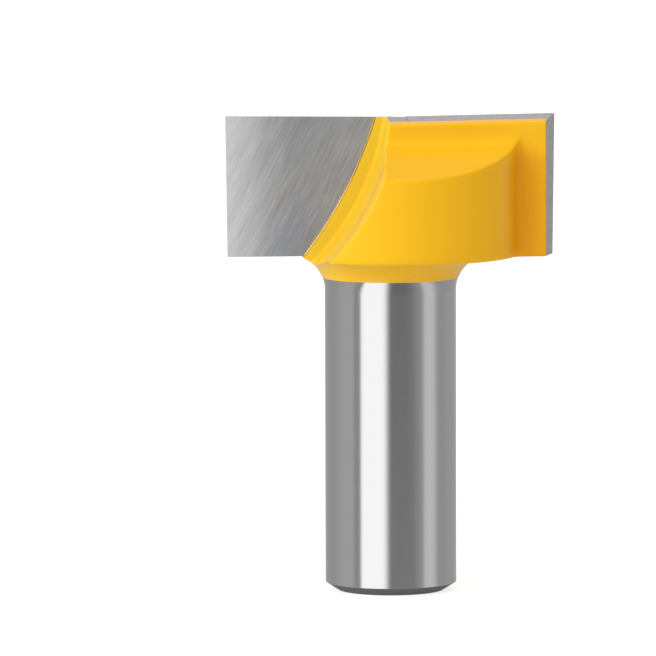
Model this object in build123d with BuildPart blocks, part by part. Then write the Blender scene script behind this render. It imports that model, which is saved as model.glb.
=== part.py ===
# Two-wing surfacing router bit: a one-piece turned and milled steel body, two carbide tips and
# the solder that holds them in their seats.
# Millimetres. Z is the axis of the bit: the end face of the shank lies at Z 0 and the cutting end
# is at the top. Wing 1 lies along -X with its rake face towards -Y, and wing 2 is wing 1 turned
# by half a turn. Seen from the cutting end the bit runs counter-clockwise.
import os
from math import radians, sqrt, tan

from build123d import *

# Shank, the plain cylinder that a half-inch collet grips
shank_diameter = 12.7
shank_length = 29.2
end_chamfer_width = 1.25
end_chamfer_height = 0.8

# Head, turned in one with the shank
neck_fillet = 3.35
head_diameter = 30.5
cutting_diameter = 32.0
cutting_height = 13.6

# Milling of the head
hub_diameter = 25.0
hub_groove_radius = 1.0
wing_thickness = 4.0
slope_angle = 18.5
slope_drop = 2.6
slope_root_radius = 1.4
gullet_radius = 25.5
gullet_centre_height = 17.2
web_thickness = 0.72
gullet_lean = 1.2
gullet_root_fillet = 0.3
rim_rounding = 0.4

# Carbide tips
tip_thickness = 2.3
tip_edge_radius = 40.0
tip_edge_centre_height = 24.7
tip_gap_at_axis = 1.55
tip_overhang = 0.05
back_taper = 0.75
dish_angle = 0.75
flank_angle = 20.5
end_relief_angle = 7.5

# Solder between a tip and its seat
solder_gap = 0.1

# Room that the cutters need around the head, and how close two lengths count as equal
overrun = 10.0
tolerance = 0.001

shank_radius = shank_diameter / 2
head_radius = head_diameter / 2
cutting_radius = cutting_diameter / 2
hub_radius = hub_diameter / 2
head_bottom = shank_length + neck_fillet
cutting_end = head_bottom + cutting_height
end_at_axis = cutting_end - cutting_radius * tan(radians(dish_angle))
slope_start = cutting_end - slope_drop
tip_bottom = head_bottom - tip_overhang
tip_height = cutting_end - tip_bottom

# Centres of the two round cuts, in the rake plane of wing 1. The web between the two gullets is
# thinnest at the cutting end, and the gullet's axis leans towards the wing's outer end.
gullet_centre_z = head_bottom + gullet_centre_height
gullet_rise = gullet_centre_z - cutting_end
gullet_centre = (-web_thickness / 2 - sqrt(gullet_radius**2 - gullet_rise**2), gullet_centre_z)
gullet_axis = (-tan(radians(gullet_lean)), -1, 0)
tip_edge_centre_z = head_bottom + tip_edge_centre_height
tip_edge_rise = tip_edge_centre_z - end_at_axis
tip_edge_centre = (-tip_gap_at_axis - sqrt(tip_edge_radius**2 - tip_edge_rise**2), tip_edge_centre_z)


# Ground land on the cutting end of wing 1: it falls to the axis by the dish and to the back by
# the relief
end_land = Plane(
    origin=(0, 0, end_at_axis),
    x_dir=(1, 0, -tan(radians(dish_angle))),
    z_dir=(tan(radians(dish_angle)), tan(radians(end_relief_angle)), 1),
)

# Ground flank of tip 1: it falls to the shank by the back taper and to the back by the relief
flank = Plane(
    origin=(-cutting_radius, 0, cutting_end),
    x_dir=(tan(radians(back_taper)), 0, -1),
    z_dir=(-1, tan(radians(flank_angle)), -tan(radians(back_taper))),
)

wing_turns = {1: 0, 2: 180}


# Plan of the head: the hub, the two wings and the grooves between them
with BuildSketch() as head_plan:
    Circle(hub_radius)
    Rectangle(2 * head_diameter, 2 * wing_thickness)
    corners = head_plan.vertices().filter_by(lambda corner: corner.X**2 + corner.Y**2 < head_radius**2)
    fillet(corners, hub_groove_radius)

with BuildPart() as end_grinding:
    with BuildSketch(end_land):
        Rectangle(2 * (cutting_radius + overrun), cutting_radius + overrun, align=(Align.CENTER, Align.MIN))
    extrude(amount=overrun, dir=(0, 0, 1))

with BuildPart() as flank_grinding:
    with BuildSketch(flank):
        Rectangle(2 * (cutting_height + overrun), 2 * (wing_thickness + overrun))
    extrude(amount=overrun)

with BuildPart() as gullet_cutter:
    with BuildSketch(Plane.XZ):
        with Locations(gullet_centre):
            Circle(gullet_radius)
    extrude(amount=head_radius + overrun, dir=gullet_axis)
    floor = gullet_cutter.faces().sort_by(Axis.Y)[-1]
    fillet(floor.edges(), gullet_root_fillet)

with BuildPart() as slope_cutter:
    reach = head_radius + overrun
    slope_foot = slope_start - (reach - wing_thickness) * tan(radians(slope_angle))
    with BuildSketch(Plane.YZ) as slope_profile:
        with BuildLine():
            Polyline(
                (-wing_thickness, slope_start),
                (-reach, slope_foot),
                (-reach, cutting_end + overrun),
                (-wing_thickness, cutting_end + overrun),
                close=True,
            )
        make_face()
        root = slope_profile.vertices().sort_by_distance((-wing_thickness, slope_start))[0]
        fillet(root, slope_root_radius)
    extrude(amount=reach, both=True)

with BuildPart() as seat_cutter:
    with BuildSketch(Plane.XZ):
        with Locations(tip_edge_centre):
            Circle(tip_edge_radius + solder_gap)
    extrude(amount=-(tip_thickness + solder_gap))


with BuildPart() as cutter_body:
    # Turned blank: chamfered shank, concave neck and plain head
    with BuildSketch(Plane.XZ):
        with BuildLine():
            Polyline(
                (0, cutting_end),
                (0, 0),
                (shank_radius - end_chamfer_width, 0),
                (shank_radius, end_chamfer_height),
                (shank_radius, shank_length),
            )
            JernArc((shank_radius, shank_length), (0, 1), neck_fillet, -90)
            Polyline(
                (shank_radius + neck_fillet, head_bottom),
                (head_radius, head_bottom),
                (head_radius, cutting_end),
                (0, cutting_end),
            )
        make_face()
    revolve(axis=Axis.Z)

    # Backs of the wings, milled away around the hub with a groove on each side
    with BuildSketch(Plane.XY.offset(head_bottom)):
        Circle(head_radius + overrun)
        add(head_plan.sketch, mode=Mode.SUBTRACT)
    extrude(amount=cutting_height + overrun, mode=Mode.SUBTRACT)
    round_edges = cutter_body.edges().filter_by(GeomType.CIRCLE)
    rim_edges = round_edges.filter_by(lambda edge: abs(edge.radius - hub_radius) < tolerance)
    fillet(rim_edges.group_by(Axis.Z)[0], rim_rounding)

    # Slopes on the hub and the ground lands on the cutting end
    for turn in wing_turns.values():
        add(slope_cutter.part, rotation=(0, 0, turn), mode=Mode.SUBTRACT)
        add(end_grinding.part, rotation=(0, 0, turn), mode=Mode.SUBTRACT)

    # Chip gullets, then the seats of the tips
    for turn in wing_turns.values():
        add(gullet_cutter.part, rotation=(0, 0, turn), mode=Mode.SUBTRACT)
    for turn in wing_turns.values():
        add(seat_cutter.part, rotation=(0, 0, turn), mode=Mode.SUBTRACT)


with BuildPart() as tip_blank:
    with BuildSketch(Plane.XZ):
        with Locations(tip_edge_centre):
            Circle(tip_edge_radius)
        with Locations((-cutting_radius, tip_bottom)):
            Rectangle(cutting_radius, tip_height, align=(Align.MIN, Align.MIN), mode=Mode.INTERSECT)
    extrude(amount=-tip_thickness)
    add(end_grinding.part, mode=Mode.SUBTRACT)
    add(flank_grinding.part, mode=Mode.SUBTRACT)

with BuildPart() as solder_blank:
    add(seat_cutter.part)
    with BuildSketch(Plane.XZ):
        with Locations((-cutting_radius, tip_bottom)):
            Rectangle(cutting_radius, tip_height, align=(Align.MIN, Align.MIN))
    extrude(amount=-(tip_thickness + solder_gap), mode=Mode.INTERSECT)
    add(end_grinding.part, mode=Mode.SUBTRACT)
    add(flank_grinding.part, mode=Mode.SUBTRACT)
    add(tip_blank.part, mode=Mode.SUBTRACT)


os.makedirs("parts", exist_ok=True)
cutter_body.part.label = "cutter_body"
export_step(cutter_body.part, "parts/cutter_body.step")
for wing, turn in wing_turns.items():
    for name, blank in (("carbide_tip", tip_blank), ("braze_layer", solder_blank)):
        with BuildPart() as piece:
            add(blank.part, rotation=(0, 0, turn))
        piece.part.label = f"{name}_{wing}"
        export_step(piece.part, f"parts/{piece.part.label}.step")
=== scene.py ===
import math

import bmesh
import bpy
from mathutils import Matrix, Vector


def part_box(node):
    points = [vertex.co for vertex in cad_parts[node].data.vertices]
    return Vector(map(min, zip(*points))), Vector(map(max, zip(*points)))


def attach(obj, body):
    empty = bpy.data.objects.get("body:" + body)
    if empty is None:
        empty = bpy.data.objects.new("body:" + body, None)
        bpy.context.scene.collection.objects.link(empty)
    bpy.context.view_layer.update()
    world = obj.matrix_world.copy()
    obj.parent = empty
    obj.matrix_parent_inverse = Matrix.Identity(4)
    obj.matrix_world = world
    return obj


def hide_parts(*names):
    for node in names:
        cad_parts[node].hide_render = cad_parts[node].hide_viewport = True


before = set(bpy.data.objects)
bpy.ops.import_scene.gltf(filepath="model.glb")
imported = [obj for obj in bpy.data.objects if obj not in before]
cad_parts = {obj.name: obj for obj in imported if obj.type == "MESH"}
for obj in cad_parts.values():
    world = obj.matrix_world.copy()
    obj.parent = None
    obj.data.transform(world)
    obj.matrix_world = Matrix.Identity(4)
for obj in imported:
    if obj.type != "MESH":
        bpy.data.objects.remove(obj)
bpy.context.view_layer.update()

mm = 0.001
white = (1, 1, 1, 1)


def newObject(name, data):
    made = bpy.data.objects.new(name, data)
    bpy.context.scene.collection.objects.link(made)
    return made


# The photograph's view: the bit stands a little right of the middle, seen from slightly above.
# Angles are in degrees.
picture = {
    "pixels": 656,  # width and height
    "axisPixel": 390.5,  # column of the bit's axis
    "endPixel": 589.6,  # row of the middle of the shank's end face
    "pixelsPerMm": 10.33,  # at the bit's axis
    "azimuth": -6.0,
    "elevation": 5.6,
    "distance": 795 * mm,
    "lean": 0.15,  # how far the bit leans to the left
    "sensor": 36,  # width of the camera's sensor, in mm
    "clip": (0.05, 30),  # nearest and furthest that the camera sees, in metres
}


def makeCamera():
    half = picture["pixels"] / 2
    turn, rise = math.radians(picture["azimuth"]), math.radians(picture["elevation"])
    level = Vector((math.sin(turn), -math.cos(turn), 0)) * math.cos(rise)
    back = level + Vector((0, 0, math.sin(rise)))
    right = Vector((math.cos(turn), math.sin(turn), 0))
    scale = picture["pixelsPerMm"] / mm
    aim = Vector((0, 0, (picture["endPixel"] - half) / scale / math.cos(rise)))
    aim -= right * (picture["axisPixel"] - half) / scale
    camera = newObject("camera", bpy.data.cameras.new("camera"))
    bpy.context.scene.camera = camera
    camera.data.sensor_width = picture["sensor"]
    camera.data.lens = picture["sensor"] * scale * picture["distance"] / picture["pixels"]
    camera.data.clip_start, camera.data.clip_end = picture["clip"]
    camera.location = aim + back * picture["distance"]
    camera.rotation_mode = "QUATERNION"
    lean = Matrix.Rotation(math.radians(-picture["lean"]), 4, "Z").to_quaternion()
    camera.rotation_quaternion = (-back).to_track_quat("-Z", "Y") @ lean


makeCamera()
print("camera ready")


# Shader maths as plain expressions: a Wire is a socket that can be calculated with
class Wire:
    def __init__(self, board, socket):
        self.board = board
        self.socket = socket

    def __add__(self, other):
        return self.board.math("ADD", self, other)

    def __radd__(self, other):
        return self.board.math("ADD", other, self)

    def __sub__(self, other):
        return self.board.math("SUBTRACT", self, other)

    def __rsub__(self, other):
        return self.board.math("SUBTRACT", other, self)

    def __mul__(self, other):
        return self.board.math("MULTIPLY", self, other)

    def __rmul__(self, other):
        return self.board.math("MULTIPLY", other, self)

    def __truediv__(self, other):
        return self.board.math("DIVIDE", self, other)

    def __rtruediv__(self, other):
        return self.board.math("DIVIDE", other, self)

    def __neg__(self):
        return self.board.math("MULTIPLY", self, -1)

    def __abs__(self):
        return self.board.math("ABSOLUTE", self)

    def __gt__(self, other):
        return self.board.math("GREATER_THAN", self, other)

    def __lt__(self, other):
        return self.board.math("LESS_THAN", self, other)


# The board holds one node tree, and every node on it comes from board.node
class Board:
    def __init__(self, tree):
        self.tree = tree

    def node(self, kind, settings=None, sockets=None, out=0):
        made = self.tree.nodes.new(kind)
        for name, value in (settings or {}).items():
            setattr(made, name, value)
        self.plug(made, sockets or {})
        return Wire(self, made.outputs[out]) if len(made.outputs) else made

    def plug(self, node, sockets):  # a value or a wire for each socket
        for name, value in sockets.items():
            if isinstance(value, Wire):
                self.tree.links.new(value.socket, node.inputs[name])
            else:
                node.inputs[name].default_value = value

    def math(self, operation, *values):
        return self.node("ShaderNodeMath", {"operation": operation}, dict(enumerate(values)))

    def larger(self, first, second):
        return self.math("MAXIMUM", first, second)

    def length(self, across, along):
        return self.math("SQRT", across * across + along * along)

    def step(self, value, start, end):  # soft step from 0 at start to 1 at end
        part = self.math("MINIMUM", self.larger((value - start) / (end - start), 0), 1)
        return part * part * (3 - 2 * part)

    def mix(self, amount, first, second):  # two colours
        return self.node(
            "ShaderNodeMix",
            {"data_type": "RGBA"},
            {"Factor": amount, "A": first, "B": second},
            "Result",
        )

    def noise(self, place, scale=1, detail=2, rough=0.5):
        return self.node(
            "ShaderNodeTexNoise",
            {"noise_dimensions": "3D"},
            {"Vector": place, "Scale": scale, "Detail": detail, "Roughness": rough},
        )

    def scaled(self, place, factors):  # a place stretched along each axis
        return self.node("ShaderNodeVectorMath", {"operation": "MULTIPLY"}, {0: place, 1: factors})

    def joined(self, x, y, z):
        return self.node("ShaderNodeCombineXYZ", None, {"X": x, "Y": y, "Z": z})

    def split(self, place):
        parts = self.node("ShaderNodeSeparateXYZ", None, {"Vector": place})
        return [Wire(self, socket) for socket in parts.socket.node.outputs]

    def bump(self, height, strength, depth):  # depth in millimetres
        return self.node(
            "ShaderNodeBump",
            None,
            {"Height": height, "Strength": strength, "Distance": depth * mm},
        )

    def millimetres(self):  # Object coordinates, counted in millimetres
        place = self.node("ShaderNodeTexCoord", None, None, "Object")
        return self.scaled(place, (1 / mm, 1 / mm, 1 / mm))

    def seenDirectly(self):  # 1 for what the picture shows itself, 0 for what lights it
        return self.node("ShaderNodeLightPath", None, None, "Is Camera Ray")


def newMaterial(name):
    material = bpy.data.materials.new(name)
    material.use_nodes = True
    return material, Board(material.node_tree), material.node_tree.nodes["Principled BSDF"]


def giveMaterial(mesh, material):
    mesh.materials.clear()
    mesh.materials.append(material)


# Light: a pale room with softboxes. Angles are degrees to the right of the photograph's view, or
# degrees above the horizon where they are heights.
studio = {
    "room": 0.45,  # brightness of what the polished shank mirrors
    "upperRoom": 0.4,
    "overhead": 1.4,
    "ground": 0.5,
    "upperHeight": (0, 12),  # between these heights the upper room takes over
    "overheadHeight": (45, 75),
    "groundDepth": (48, 75),  # below the horizon
    # name: left side, right side, softness left, softness right, brightness
    "softboxes": {
        "key": (-54.5, -7, 5, 15, 1.15),
        "bounce": (-106, -66, 40, 8, 0.1),
        "strip": (60, 86, 10, 18, 0.36),
        "back": (156, 200, 30, 20, 0.05),
    },
    "darkCards": {
        "front": (-8, 43, 18, 40, 0.52),
        "edge": (-70, -57, 6, 6, 0.2),
    },
    "upperSoftboxes": {
        "key": (-84, -20, 30, 30, 2.9),
        "right": (12, 96, 40, 30, 0.44),
        "back": (150, 200, 20, 20, 0.05),
    },
    # Small panels, mostly for the flat ground faces, the last of them dark. Each has its sides, the
    # heights at which it starts, is full, starts to fade and is gone, and its brightness.
    "panels": {
        "tip": ((-2, 34, 8, 8), (-5.2, -3.8, 4, 8), 0.85),
        "side": ((112, 138, 10, 10), (-5.2, -3.8, 4, 8), 0.9),
        "land": ((150, 206, 14, 14), (11, 17, 24, 30), 0.68),
        "shade": ((182, 208, 8, 6), (-4, -1, 8, 12), -0.42),
    },
    "warmSide": (12, 150, 40, 40),  # left side, right side and softness of each, in the upper room
    "warmLight": (1, 0.7, 0.44, 1),
    "floorReach": 12,  # metres from the bit to the floor's sides
    "floorShade": 0.4,
    "floorGlow": 0.78,
    "floorBounce": (0.7, 0.42),  # what the floor throws up at the bit, on its left and on its right
    "bounceChange": (-40, 40),  # the one gives way to the other between these places, in mm
}


def makeWorld():
    scene = bpy.context.scene
    scene.view_settings.view_transform = "Standard"
    world = bpy.data.worlds.new("studioWorld")
    world.use_nodes = True
    scene.world = world
    board = Board(world.node_tree)
    x, y, z = board.split(board.node("ShaderNodeTexCoord", None, None, "Generated"))
    turn = math.radians(picture["azimuth"])
    sideways = x * math.cos(turn) + y * math.sin(turn)
    towards = x * math.sin(turn) - y * math.cos(turn)
    bearing = board.math("ARCTAN2", sideways, towards) * math.degrees(1)
    height = board.math("ARCSINE", z) * math.degrees(1)

    def window(left, right, softLeft, softRight):  # 1 between two bearings, with soft sides
        away = board.math("WRAP", bearing - (left + right) / 2, 180, -180)
        half = (right - left) / 2
        opened = board.step(away, -half - softLeft / 2, -half + softLeft / 2)
        return opened * (1 - board.step(away, half - softRight / 2, half + softRight / 2))

    low = studio["room"]
    for *sides, strength in studio["darkCards"].values():
        low = low * (1 - window(*sides) * strength)
    for *sides, glow in studio["softboxes"].values():
        low = low + window(*sides) * glow
    high = studio["upperRoom"]
    for *sides, glow in studio["upperSoftboxes"].values():
        high = high + window(*sides) * glow
    upper = board.step(height, *studio["upperHeight"])
    level = low * (1 - upper) + high * upper
    for sides, (start, full, fade, gone), glow in studio["panels"].values():
        panel = window(*sides) * board.step(height, start, full) * board.step(height, gone, fade)
        level = level + panel * glow
    top = board.step(height, *studio["overheadHeight"])
    level = level * (1 - top) + top * studio["overhead"]
    below = board.step(-height, *studio["groundDepth"])
    level = level * (1 - below) + below * studio["ground"]
    seen = board.seenDirectly()  # the backdrop itself is plain white
    warm = window(*studio["warmSide"]) * upper
    board.plug(world.node_tree.nodes["Background"], {
        "Color": board.mix(warm * (1 - seen), white, studio["warmLight"]),
        "Strength": board.larger(level, seen),
    })


def makeFloor():
    mesh = bpy.data.meshes.new("floor")
    reach = studio["floorReach"]
    corners = [(-reach, -reach, 0), (reach, -reach, 0), (reach, reach, 0), (-reach, reach, 0)]
    mesh.from_pydata(corners, [], [(0, 1, 2, 3)])
    floor = newObject("floor", mesh)
    floor.visible_glossy = False  # the steel mirrors the room without the floor
    material, board, shader = newMaterial("paleFloor")
    shade, glow = studio["floorShade"], studio["floorGlow"]
    left, right = [bounce / glow for bounce in studio["floorBounce"]]
    x = board.split(board.millimetres())[0]
    change = board.step(x, *studio["bounceChange"])
    bounce = board.mix(change, (left, left, left, 1), (right, right, right, 1))
    board.plug(shader, {
        "Base Color": (shade, shade, shade, 1),
        "Roughness": 0.9,
        "Specular IOR Level": 0.1,
        "Emission Color": board.mix(board.seenDirectly(), bounce, white),
        "Emission Strength": glow,
    })
    giveMaterial(mesh, material)


makeWorld()
makeFloor()
print("studio ready")


def addPiece(name, mesh):
    piece = newObject(name, mesh)
    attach(piece, "root")
    return piece


def bakedMesh(name, holder):  # the holder's mesh with its modifiers applied, in place of the holder
    seen = holder.evaluated_get(bpy.context.evaluated_depsgraph_get())
    mesh = bpy.data.meshes.new_from_object(seen)
    mesh.name = name
    holder.modifiers.clear()
    bpy.data.objects.remove(holder)
    return mesh


# The steel body. Paint rounds the milled edges of the head, and the ground shank stays exact.
# Lengths and heights are in mm, and angles in degrees.
body = {
    "paintLine": 30.42,  # height of the paint's edge on the neck
    "paintFilm": 0.03,  # thickness of the paint
    "headMargin": 0.6,  # how far below the paint line the head's first mesh begins
    "shankReach": 0.5,  # how far above it the shank goes on, inside the head
    "detail": 0.12,  # size of the head's first mesh
    "rounding": 9,  # smoothing passes over the painted edges
    "roundingStrength": 0.5,
    "kept": 0.5,  # share of that mesh's triangles that are kept
    "sharpEdge": 25,  # the shank's edges that turn by more than this stay sharp

    # Paint
    "paint": (0.81, 0.475, 0.014, 1),
    "paintShade": (0.78, 0.445, 0.011, 1),
    "shadedPaint": (0.73, 0.34, 0.008, 1),  # painted shade: darker, more orange paint in the corner beside the hub and down the gullet's wall
    "sheenPaint": (0.70, 0.505, 0.034, 1),  # painted sheen: paler, bluer paint on the gullet's wall and the rim of the tip's seat, with less orange bounced light
    "paintRoughness": 0.3,
    "headBottom": 32.0,
    "hubCorner": (12.2, 4.0),  # where the hub meets the back of the wing
    "cornerShade": (5.0, 1.0),  # the painted shade there starts and is full this near
    "cornerNarrowing": (41.0, 45.0, 4.0),  # between the first two heights it draws in by the third
    "gulletBottom": 32.4,
    "gulletCentre": (25.86, 49.75),  # inward from the bit's axis and up
    "gulletRadius": 25.5,
    "gulletLean": 1.2,
    "gulletWall": (0.4, 0.15),  # a place this near counts as on the wall, in part and in full
    # share of the painted sheen on the gullet's wall
    "wallSheen": 0.7,
    "wallShade": (45.5, 42, 0.25),  # painted shade on the wall, growing from one height down to the other
    "seatRim": 0.12,  # width of the rim
    "streakDepth": 8.6,  # how far in front of the tip's face a painted dark streak runs down the gullet's wall
    "streakWidth": (1.6, 0.4),
    "streakShade": (31, 38, 0.5),  # and the streak's painted shade between these heights
    "gloss": 0.12,  # weight of the paint's clear coat
    "neckGloss": (32.5, 32.1, 0.5),  # more of it on the neck, from one height down to the other
    "glossRoughness": 0.22,
    "shine": 0.05,  # what the paint mirrors under it

    # Bare steel
    "steel": (0.58, 0.58, 0.585, 1),
    "steelShade": (0.5, 0.5, 0.5, 1),
    "steelRoughness": 0.1,
    "turnedMarks": (0.5, 0.5, 18),  # marks round the shank: how many in a mm, along each axis
    "groundFlank": (0.46, 0.46, 0.46, 1),
    "groundRoughness": 0.25,  # added where the head is ground bare
    "flankRadius": 15.17,  # the head's outer face was ground bare with the carbide
    "endAtAxis": 45.94,  # height of the ground end at the bit's axis
    "dish": 0.75,
    "endRelief": 7.5,
    "landSkin": 0.06,  # how far under the ground end still counts as ground
    "landDepth": 2.65,  # how far behind the cutting edge the end is ground bare
    "landStart": -0.35,  # outward from the bit's axis: the ground end begins just across it
    "chamferHeight": 0.8,
    # painted shade: the chamfer's dark greys stand in for the dark it mirrors from below
    "chamferShadeDark": (0.09, 0.09, 0.09, 1),
    "chamferShadePale": (0.16, 0.16, 0.16, 1),
    "chamferRoughness": 0.45,
    "chamferDullness": 0.85,  # how little it mirrors
    "ringsPerMm": 11,  # the turning tool's rings on the chamfer
}


# Cuts a solid level, keeps what is above or below, and closes it with a flat face
def cutLevel(solid, height, keepUpper):
    bmesh.ops.bisect_plane(
        solid,
        geom=solid.verts[:] + solid.edges[:] + solid.faces[:],
        plane_co=(0, 0, height * mm),
        plane_no=(0, 0, 1),
        clear_inner=keepUpper,
        clear_outer=not keepUpper,
    )
    bmesh.ops.holes_fill(solid, edges=[edge for edge in solid.edges if edge.is_boundary])


def cutBody(height, keepUpper):  # a copy of the CAD body above or below a height
    solid = bmesh.new()
    solid.from_mesh(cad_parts["cutter_body"].data)
    bmesh.ops.remove_doubles(solid, verts=solid.verts, dist=0.001 * mm)
    cutLevel(solid, height, keepUpper)
    bmesh.ops.recalc_face_normals(solid, faces=solid.faces)
    return solid


def meshOf(name, solid):
    mesh = bpy.data.meshes.new(name)
    solid.to_mesh(mesh)
    solid.free()
    return mesh


def makePaintedHead():
    head = cutBody(body["paintLine"] - body["headMargin"], True)
    holder = newObject("head", meshOf("head", head))
    grid = holder.modifiers.new("evenMesh", "REMESH")
    grid.mode = "VOXEL"
    grid.voxel_size = body["detail"] * mm
    soften = holder.modifiers.new("softEdges", "SMOOTH")
    soften.factor = body["roundingStrength"]
    soften.iterations = body["rounding"]
    fewer = holder.modifiers.new("fewerFaces", "DECIMATE")
    fewer.ratio = body["kept"]
    solid = bmesh.new()
    solid.from_mesh(bakedMesh("softHead", holder))
    solid.normal_update()
    for corner in solid.verts:
        corner.co += corner.normal * body["paintFilm"] * mm
    cutLevel(solid, body["paintLine"], True)
    for face in solid.faces:
        face.smooth = face.normal.z > -0.999  # all but the flat face that the cut left
    return meshOf("paintedHead", solid)


def makeBody():
    shank = cutBody(body["paintLine"] + body["shankReach"], False)
    for face in shank.faces:
        face.smooth = abs(face.normal.z) < 0.9  # all but the end faces
    for edge in shank.edges:
        edge.smooth = edge.calc_face_angle(0) < math.radians(body["sharpEdge"])
    holder = newObject("shank", meshOf("shank", shank))
    head = newObject("head", makePaintedHead())
    union = holder.modifiers.new("oneSolid", "BOOLEAN")
    union.operation = "UNION"
    union.solver = "MANIFOLD"
    union.object = head
    mesh = bakedMesh("paintedBody", holder)
    bpy.data.objects.remove(head)
    giveMaterial(mesh, makeBodyMaterial())
    piece = addPiece("painted_body", mesh)
    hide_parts("cutter_body")


def makeBodyMaterial():
    material, board, shader = newMaterial("paintedSteel")
    place = board.millimetres()
    x, y, z = board.split(place)
    radius = board.length(x, y)
    outward = -x * board.math("SIGN", y)  # along the wing's back, and below 0 in the gullet
    behind = abs(y)

    # The end is ground bare over the carbide and on along the web between the wings
    end = body["endAtAxis"] + outward * math.tan(math.radians(body["dish"]))
    end = end - behind * math.tan(math.radians(body["endRelief"]))
    onLand = (z > end - body["landSkin"]) * (behind < body["landDepth"])
    onLand = onLand * (outward > body["landStart"])
    onHead = z > body["headBottom"]
    bare = board.larger(onLand, (radius > body["flankRadius"]) * onHead)
    painted = (z > body["paintLine"] - 0.01) * (1 - bare)  # a hair below the edge itself
    chamfer = z < body["chamferHeight"] - 0.02

    cloud = board.noise(place, scale=0.35)
    speck = board.noise(place, scale=5, detail=3)
    peel = board.noise(place, scale=1.5, detail=1)
    turned = board.noise(board.scaled(place, body["turnedMarks"]), detail=3, rough=0.6)
    grain = board.noise(place, scale=7, detail=4, rough=0.7)
    rings = board.noise(board.joined(radius * body["ringsPerMm"], 0, 0), detail=3)

    # Painted shade in the corner beside the hub, where the hub shades the back of the wing
    cornerX, cornerY = body["hubCorner"]
    low, high, narrowing = body["cornerNarrowing"]
    fromCorner = board.length(abs(x) - cornerX, behind - cornerY)
    fromCorner = fromCorner + cloud + board.step(z, low, high) * narrowing
    cornerShade = board.step(fromCorner, *body["cornerShade"]) * (outward > 0) * onHead

    # Painted sheen in the gullet, and painted shade: darker paint lower on its wall and a dark
    # streak down it
    centreX, centreZ = body["gulletCentre"]
    across = outward + centreX + behind * math.tan(math.radians(body["gulletLean"]))
    fromWall = abs(board.length(across, z - centreZ) - body["gulletRadius"])
    inGullet = (outward < 0) * (z > body["gulletBottom"])
    wall = board.step(fromWall, *body["gulletWall"]) * inGullet
    rim = (behind < body["seatRim"]) * (fromWall > body["gulletWall"][1]) * inGullet
    gulletSheen = board.larger(rim, wall * body["wallSheen"])
    # painted shade: a dark streak down the gullet's wall
    shadeStreak = board.step(abs(behind - body["streakDepth"]), *body["streakWidth"]) * wall
    high, low, amount = body["wallShade"]
    wallShade = wall * board.step(z, high, low) * amount
    low, high, amount = body["streakShade"]
    wallShade = wallShade + shadeStreak * board.step(z, low, high) * amount

    paint = board.mix(cloud * 0.7 + speck * 0.3, body["paint"], body["paintShade"])
    # painted sheen on the rim of the seat and the gullet's wall
    paint = board.mix(gulletSheen, paint, body["sheenPaint"])
    # painted shade in the corner beside the hub and down the gullet's wall
    paint = board.mix(board.larger(cornerShade, wallShade), paint, body["shadedPaint"])
    steel = board.mix((turned - 0.5) * 0.8, body["steel"], body["steelShade"])
    # the chamfer's real turned rings and grain, in painted shade
    shadedChamfer = board.mix(grain * 0.5 + rings * 0.5, body["chamferShadeDark"], body["chamferShadePale"])
    steel = board.mix(chamfer, steel, shadedChamfer)
    steel = board.mix(bare, steel, body["groundFlank"])
    rough = body["steelRoughness"] + turned * 0.08 + bare * body["groundRoughness"]
    rough = rough * (1 - chamfer) + chamfer * (body["chamferRoughness"] + grain * 0.2)
    height = painted * peel * 0.6 + (1 - painted) * (turned * 0.12 + chamfer * grain * 0.5)
    high, low, more = body["neckGloss"]
    gloss = body["gloss"] + board.step(z, high, low) * more
    board.plug(shader, {
        "Base Color": board.mix(painted, steel, paint),
        "Roughness": rough * (1 - painted) + painted * (body["paintRoughness"] + speck * 0.08),
        "Metallic": (1 - painted) * (1 - chamfer * body["chamferDullness"]),
        "Specular IOR Level": body["shine"],
        "Coat Weight": painted * (1 - wall) * gloss,
        "Coat Roughness": body["glossRoughness"],
        "Normal": board.bump(height, strength=0.25, depth=0.02),
    })
    return material


makeBody()
print("body ready")


# The carbide plates: ground flat, with the wheel's curved marks across the face. Lengths and
# heights are in mm.
tip = {
    "nodes": ("carbide_tip_1", "carbide_tip_2"),
    "edgeCentre": (39.92, 57.25),  # outward and up: centre of the plate's curved inner edge
    "edgeRadius": 40.0,
    "faceDepth": 0.03,  # what lies less than this behind the rake plane is the face
    "carbide": (0.405, 0.44, 0.485, 1),
    # painted reflection: a pale carbide for the outer part of the face
    "carbideReflection": (0.89, 0.915, 0.96, 1),
    "reflectionSide": (9.0, 17.0),  # a painted reflection brightens the face between these distances from the bit's axis
    "groundLand": (0.48, 0.48, 0.48, 1),
    "heatTint": (0.34, 0.40, 0.56, 1),  # left by the brazing
    "tintWidth": 5.0,
    "tintHeight": (31.5, 35.5, 41, 46),  # it fades in and out between these heights
    "wheelCentre": (270, 178),  # outward and up: centre of the grinding marks
    "wheelRadius": 296,
    # How many marks in a mm: on the face across them, along them and into the plate, and on the
    # lands outward, into the plate and up
    "fineMarks": (5.5, 0.25, 2),
    "broadMarks": (1, 0.08, 1),
    "landMarks": (6, 0.6, 6),
    "markContrast": 0.98,
    "contrastLoss": 0.62,  # where the painted reflection lies
    "roughness": 0.3,
}


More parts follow.
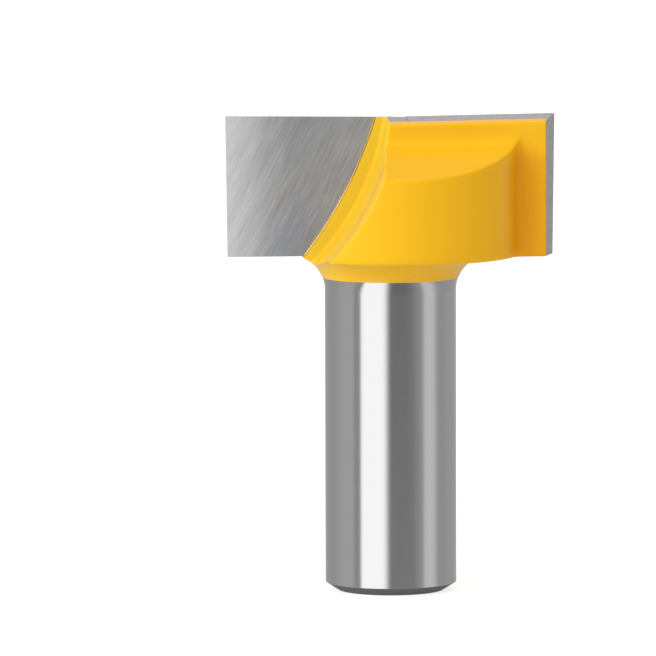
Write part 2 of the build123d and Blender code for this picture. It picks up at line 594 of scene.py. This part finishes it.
def makeCarbide():
    material, board, shader = newMaterial("groundCarbide")
    place = board.millimetres()
    x, y, z = board.split(place)
    outward, behind = abs(x), abs(y)
    face = behind < tip["faceDepth"]

    across = outward - tip["wheelCentre"][0]
    along = z - tip["wheelCentre"][1]
    swing = board.math("ARCTAN2", along, across) * tip["wheelRadius"]
    onWheel = board.joined(board.length(across, along), swing, behind)
    fine = board.noise(board.scaled(onWheel, tip["fineMarks"]), rough=0.8)
    broad = board.noise(board.scaled(onWheel, tip["broadMarks"]))
    lands = board.noise(board.scaled(board.joined(outward, behind, z), tip["landMarks"]), detail=3)
    marks = face * (fine * 0.85 + broad * 0.15) + (1 - face) * lands
    cloud = board.noise(place, scale=0.6)

    fromCentre = board.length(outward - tip["edgeCentre"][0], z - tip["edgeCentre"][1])
    low, full, fade, gone = tip["tintHeight"]
    nearSeam = board.step(tip["edgeRadius"] - fromCentre, tip["tintWidth"], 0) * face
    nearSeam = nearSeam * board.step(z, low, full) * board.step(z, gone, fade)
    # painted reflection: the face turns pale towards its outer edge
    reflectionShare = board.step(outward + (broad - 0.5) * 2, *tip["reflectionSide"]) * face
    colour = board.mix(reflectionShare, tip["carbide"], tip["carbideReflection"])
    colour = board.mix(face, tip["groundLand"], colour)
    colour = board.mix(nearSeam, colour, tip["heatTint"])
    shade = 1 + (marks - 0.5) * (tip["markContrast"] - reflectionShare * tip["contrastLoss"])
    board.plug(shader, {
        "Base Color": board.scaled(colour, board.joined(shade, shade, shade)),
        "Roughness": tip["roughness"] + marks * 0.15 + cloud * 0.05,
        "Metallic": 1,
        "Normal": board.bump(marks, strength=0.3, depth=0.015),
    })
    for node in tip["nodes"]:
        giveMaterial(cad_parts[node].data, material)


makeCarbide()
print("tips ready")


# The solder: a thin layer under each plate, and the fine bead along the plate's curved edge.
# Lengths and heights are in mm.
solder = {
    "layers": ("braze_layer_1", "braze_layer_2"),
    "gold": (0.68, 0.47, 0.15, 1),
    "darkGold": (0.4, 0.29, 0.1, 1),
    "darkening": (36, 43),  # heights between which the one gives way to the other
    "silver": (0.5, 0.48, 0.44, 1),
    "goldDepth": (0.15, 0.4),  # the solder turns silver between these depths behind the face
    "roughness": 0.35,
    "beadRadius": 0.09,
    "beadOut": 0.09,  # how far the bead's middle lies outside the plate's edge
    "sunk": 0.04,  # and how far behind the face
    "beadEnds": (0.15, 0.1),  # how far the bead stops short of the layer's lower and upper end
    "beadSteps": 120,
    "beadSides": 10,
    "lumpsPerMetre": 900,
    "unevenness": 0.5,
    "seed": 5,
    "turns": {"solder_bead_1": 0, "solder_bead_2": 180},
}


def makeSolderMaterial():
    material, board, shader = newMaterial("silverSolder")
    place = board.millimetres()
    y, z = board.split(place)[1:]
    lumps = board.noise(place, scale=4, detail=3)
    inside = board.step(abs(y), *solder["goldDepth"])
    gold = board.mix(board.step(z, *solder["darkening"]), solder["gold"], solder["darkGold"])
    board.plug(shader, {
        "Base Color": board.mix(inside, gold, solder["silver"]),
        "Roughness": solder["roughness"] + lumps * 0.2,
        "Metallic": 0.8,
        "Normal": board.bump(lumps, strength=0.4, depth=0.02),
    })
    return material


def makeBeadTree(material):
    tree = bpy.data.node_groups.new("solderBead", "GeometryNodeTree")
    tree.interface.new_socket("Geometry", in_out="OUTPUT", socket_type="NodeSocketGeometry")
    inputs = {
        "Arc radius": (tip["edgeRadius"] + solder["beadOut"]) * mm,
        "Arc centre out": tip["edgeCentre"][0] * mm,
        "Arc centre up": tip["edgeCentre"][1] * mm,
        "Lower angle": 0.0,
        "Sweep": 0.0,
        "Bead radius": solder["beadRadius"] * mm,
        "Sunk": solder["sunk"] * mm,
        "Unevenness": solder["unevenness"],
        "Seed": float(solder["seed"]),
        "Turn": 0.0,
    }
    for name, value in inputs.items():
        socket = tree.interface.new_socket(name, in_out="INPUT", socket_type="NodeSocketFloat")
        socket.default_value = value
    board = Board(tree)
    given = board.node("NodeGroupInput").socket.node.outputs
    wires = {name: Wire(board, given[name]) for name in inputs}
    arc = board.node("GeometryNodeCurveArc", {"mode": "RADIUS"}, {
        "Resolution": solder["beadSteps"],
        "Radius": wires["Arc radius"],
        "Start Angle": wires["Lower angle"],
        "Sweep Angle": wires["Sweep"],
    })
    centre = board.joined(-wires["Arc centre out"], wires["Sunk"], wires["Arc centre up"])
    upright = board.node("GeometryNodeTransform", None, {
        "Geometry": arc,
        "Translation": centre,
        "Rotation": (math.pi / 2, 0, 0),
    })
    lumps = board.node("ShaderNodeTexNoise", {"noise_dimensions": "4D"}, {
        "Vector": board.node("GeometryNodeInputPosition"),
        "W": wires["Seed"],
        "Scale": solder["lumpsPerMetre"],
        "Detail": 2.0,
    })
    ring = board.node("GeometryNodeCurvePrimitiveCircle", None, {
        "Resolution": solder["beadSides"],
        "Radius": wires["Bead radius"],
    })
    bead = board.node("GeometryNodeCurveToMesh", None, {
        "Curve": upright,
        "Profile Curve": ring,
        "Scale": 1 + (lumps - 0.5) * wires["Unevenness"] * 2,
        "Fill Caps": True,
    })
    turned = board.node("GeometryNodeTransform", None, {
        "Geometry": bead,
        "Rotation": board.joined(0, 0, wires["Turn"]),
    })
    smooth = board.node("GeometryNodeSetShadeSmooth", None, {"Geometry": turned})
    real = board.node("GeometryNodeRealizeInstances", None, {"Geometry": smooth})
    done = board.node("GeometryNodeSetMaterial", None, {"Geometry": real, "Material": material})
    board.node("NodeGroupOutput", None, {"Geometry": done})
    return tree


def makeSolder():
    material = makeSolderMaterial()
    for node in solder["layers"]:
        giveMaterial(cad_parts[node].data, material)
    tree = makeBeadTree(material)
    sockets = {item.name: item.identifier for item in tree.interface.items_tree}
    low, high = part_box("braze_layer_1")
    centreUp = tip["edgeCentre"][1]
    shortBelow, shortAbove = solder["beadEnds"]
    drops = [centreUp - low.z / mm - shortBelow, centreUp - high.z / mm + shortAbove]
    start, stop = [-math.asin(drop / tip["edgeRadius"]) for drop in drops]
    for name, turn in solder["turns"].items():
        holder = newObject(name + "_path", bpy.data.meshes.new(name + "_path"))
        bead = holder.modifiers.new("bead", "NODES")
        bead.node_group = tree
        bead[sockets["Lower angle"]] = start
        bead[sockets["Sweep"]] = stop - start
        bead[sockets["Seed"]] = float(solder["seed"] + turn)
        bead[sockets["Turn"]] = math.radians(turn)
        addPiece(name, bakedMesh(name, holder))


makeSolder()
print("solder ready")
